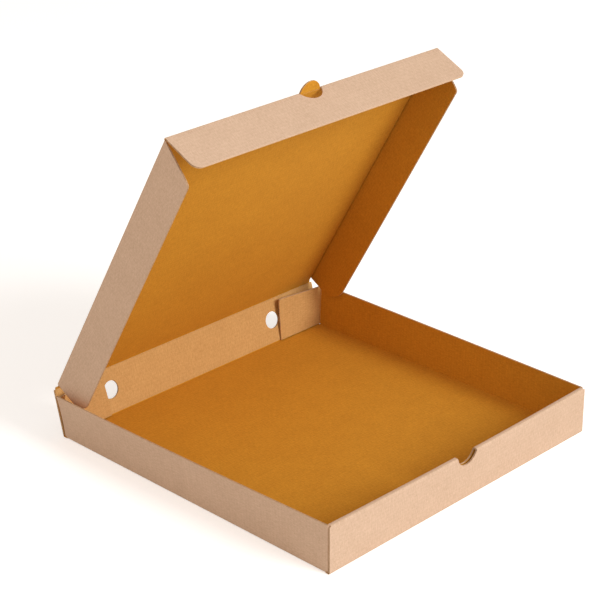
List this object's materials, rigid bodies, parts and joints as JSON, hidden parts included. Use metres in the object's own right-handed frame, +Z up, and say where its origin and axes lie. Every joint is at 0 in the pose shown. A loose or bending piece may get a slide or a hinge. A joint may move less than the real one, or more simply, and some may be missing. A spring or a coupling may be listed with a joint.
{
  "type": "pizza box",
  "caption": "Folded corrugated board pizza box, standing open: square tray with a roll-over notched front wall and vented back wall, and a hinged lid with tuck-in flaps and a pull tab.",
  "frame": {"origin": "centre of the tray floor's underside, on the table", "axes": "+Z up; +Y from the notched front wall to the back wall that carries the lid; +X along the front wall, with the left side wall at -X"},
  "size_m": [0.33, 0.3408, 0.3296],
  "materials": {
    "board": "uncoated brown kraft liner, matt"
  },
  "bodies": {
    "tray": {"tray": "board"},
    "back_wall": {"back_wall": "board"},
    "lid_panel": {"lid_panel": "board"},
    "lid_front_flap": {"lid_front_flap": "board"},
    "lid_left_flap": {"lid_left_flap": "board"},
    "lid_right_flap": {"lid_right_flap": "board"}
  },
  "joints": [
    {"name": "back_wall_fold", "type": "hinge", "parent": "tray", "child": "back_wall", "pos_m": [0, 0.16425, 0.00075], "axis": [-1, 0, 0], "range_deg": [-14.05, 28.05]},
    {"name": "lid_hinge", "type": "hinge", "parent": "back_wall", "child": "lid_panel", "pos_m": [0, 0.17506, 0.04412], "axis": [-1, 0, 0], "range_deg": [-46, 92]},
    {"name": "front_flap_fold", "type": "hinge", "parent": "lid_panel", "child": "lid_front_flap", "pos_m": [0, 0.01552, 0.32047], "axis": [1, 0, 0], "range_deg": [-86, 12]},
    {"name": "left_flap_fold", "type": "hinge", "parent": "lid_panel", "child": "lid_left_flap", "pos_m": [-0.16135, 0.17428, 0.04367], "axis": [0, -0.5, 0.866], "range_deg": [0, 80]},
    {"name": "right_flap_fold", "type": "hinge", "parent": "lid_panel", "child": "lid_right_flap", "pos_m": [0.16135, 0.17428, 0.04367], "axis": [0, 0.5, -0.866], "range_deg": [0, 80]}
  ],
  "couplings": [
    {"joint": "back_wall_fold", "follows": "lid_hinge", "ratio": 0.30435}
  ]
}
